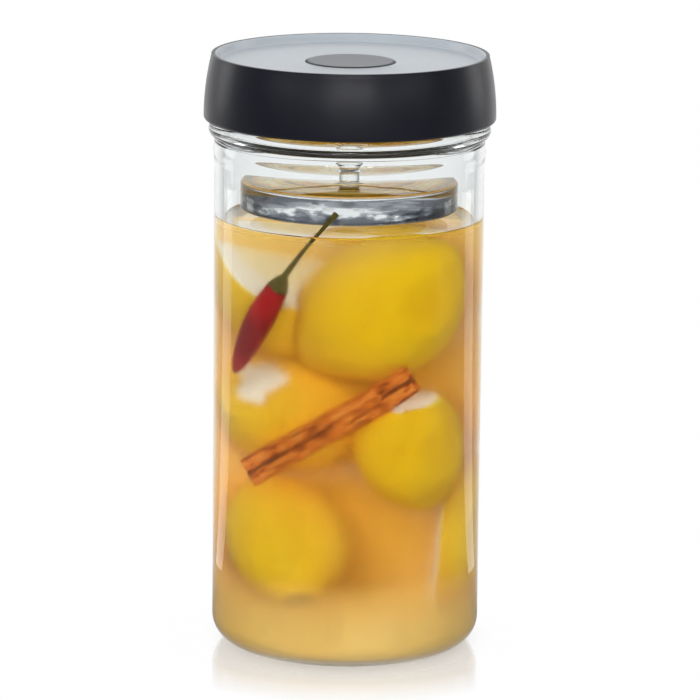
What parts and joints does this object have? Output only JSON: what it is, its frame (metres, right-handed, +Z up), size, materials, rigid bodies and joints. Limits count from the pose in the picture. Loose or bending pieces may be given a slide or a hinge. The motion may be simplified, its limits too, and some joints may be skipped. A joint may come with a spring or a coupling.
{
  "type": "fermentation jar",
  "caption": "Tall cylindrical glass jar with a black screw lid, spring vent button and glass weight, filled with lemons, chilli and cinnamon in cloudy brine.",
  "frame": {"origin": "on the table, at the middle of the jar's base", "axes": "+Z up along the jar's axis, -Y towards the front, +X to the right seen from the front"},
  "size_m": [0.1046, 0.1046, 0.2154],
  "materials": {
    "glass": "clear, smooth",
    "brine": "cloudy liquid",
    "lemon": "waxy peel",
    "chilli": "smooth skin",
    "chilli_stem": "dried stalk",
    "cinnamon": "rolled bark",
    "lid_black": "satin",
    "liner_grey": "satin",
    "plate_grey": "smooth satin",
    "button_grey": "fine matt",
    "silicone": "translucent matt",
    "steel": "bright"
  },
  "bodies": {
    "jar": {"glass_jar": "glass", "brine": "brine", "lemon_upper_right": "lemon", "lemon_middle_right": "lemon", "lemon_lower_left": "lemon", "lemon_middle_left": "lemon", "lemon_upper_left": "lemon", "lemon_lower_right": "lemon", "lemon_upper_back": "lemon", "lemon_middle_back": "lemon", "lemon_lower_back": "lemon", "chilli_pod": "chilli", "chilli_stem": "chilli_stem", "cinnamon_stick": "cinnamon"},
    "seal": {"sealing_ring": "silicone"},
    "lid": {"lid_cover": "lid_black", "lid_liner": "liner_grey", "top_plate": "plate_grey", "umbrella_valve": "silicone", "spring_washer": "steel", "return_spring": "steel"},
    "button": {"vent_button": "button_grey", "button_stem": "steel", "stem_seal": "silicone", "seal_washer": "steel", "retaining_clip": "steel"},
    "weight": {"glass_weight": "glass"}
  },
  "joints": [
    {"name": "lid_turn", "type": "hinge", "parent": "seal", "child": "lid", "pos_m": [0, 0, 0.207], "axis": [0, 0, 1], "range_deg": [0, 720]},
    {"name": "lid_lift", "type": "slide", "parent": "jar", "child": "seal", "axis": [0, 0, 1], "range_m": [0, 0.024]},
    {"name": "vent_press", "type": "slide", "parent": "lid", "child": "button", "axis": [0, 0, -1], "range_m": [0, 0.0018], "stiffness_N_per_m": 1200, "springref_m": -0.002, "deforming": ["return_spring"]},
    {"name": "weight_lift", "type": "slide", "parent": "jar", "child": "weight", "axis": [0, 0, 1], "range_m": [0, 0.008]}
  ],
  "couplings": [
    {"joint": "lid_lift", "follows": "lid_turn", "m_per_rad": 0.0019099}
  ]
}
